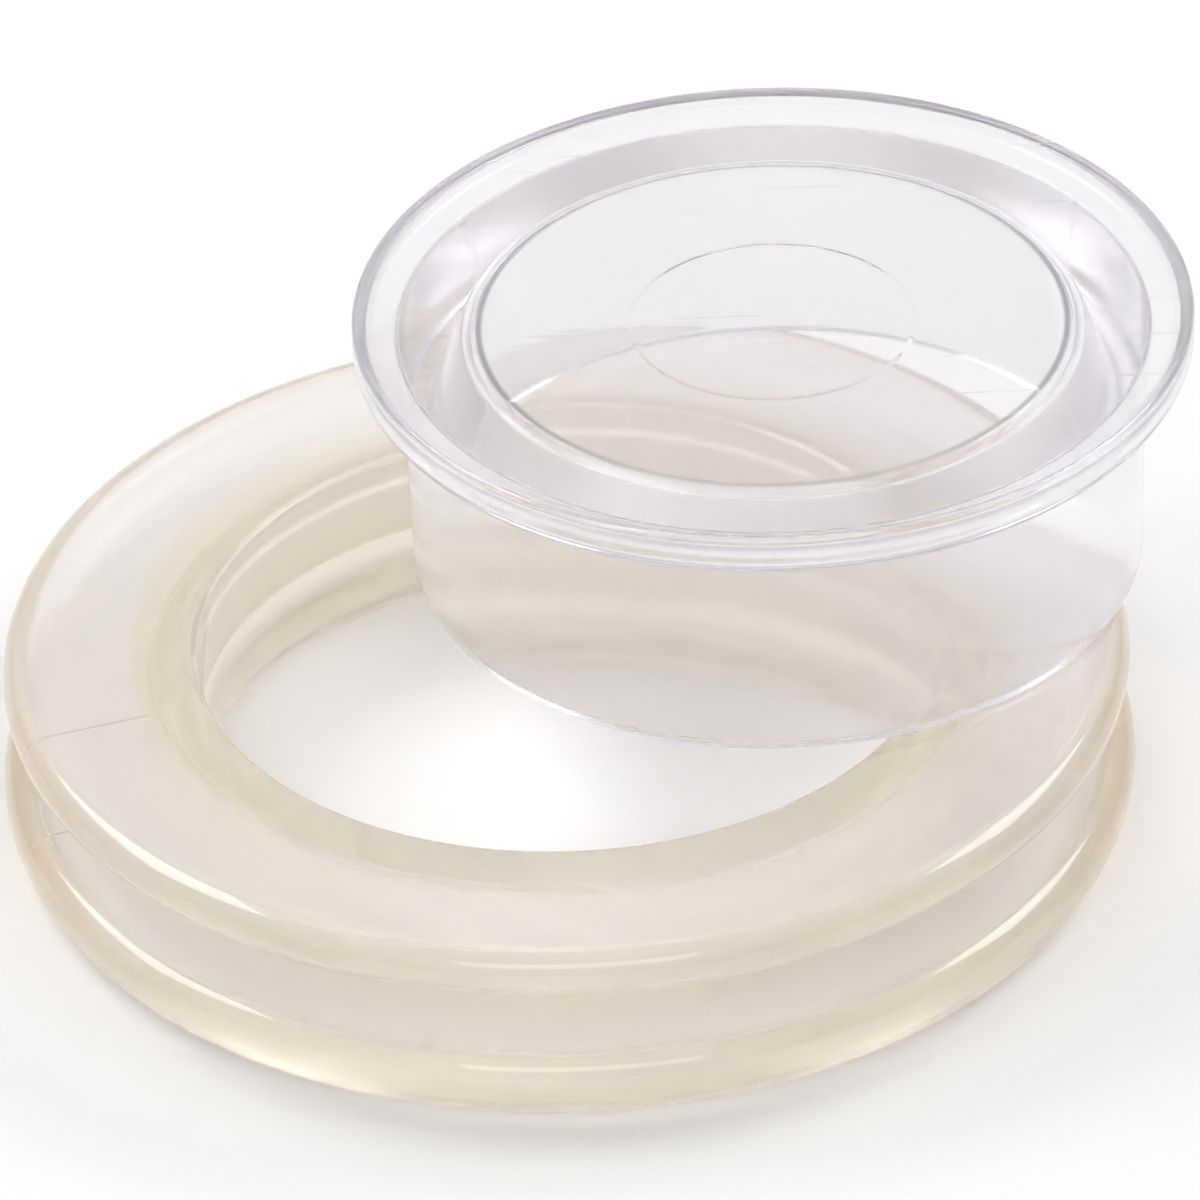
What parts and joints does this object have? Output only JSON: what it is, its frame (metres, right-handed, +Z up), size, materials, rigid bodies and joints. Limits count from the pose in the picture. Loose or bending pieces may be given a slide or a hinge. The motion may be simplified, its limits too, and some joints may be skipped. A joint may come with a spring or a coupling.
{
  "type": "table hole ring and cap set",
  "caption": "Clear soft ring with a round outer groove that lines a table's umbrella hole, and a clear flanged hollow cap that plugs it.",
  "frame": {"origin": "on the ring's axis, in the flat face that the ring stands on", "axes": "+Z up along the ring's bore; +X and +Y across the ring, with the cap lying towards +X and +Y"},
  "size_m": [0.0742, 0.07, 0.0301],
  "materials": {
    "clear_vinyl": "gloss",
    "clear_styrene": "gloss"
  },
  "bodies": {
    "ring_body": {"ring": "clear_vinyl"},
    "cap_body": {"cap": "clear_styrene"}
  },
  "joints": [
    {"name": "cap_lift", "type": "slide", "parent": "ring_body", "child": "cap_body", "axis": [0, 0, 1], "range_m": [0, 0.04]}
  ]
}
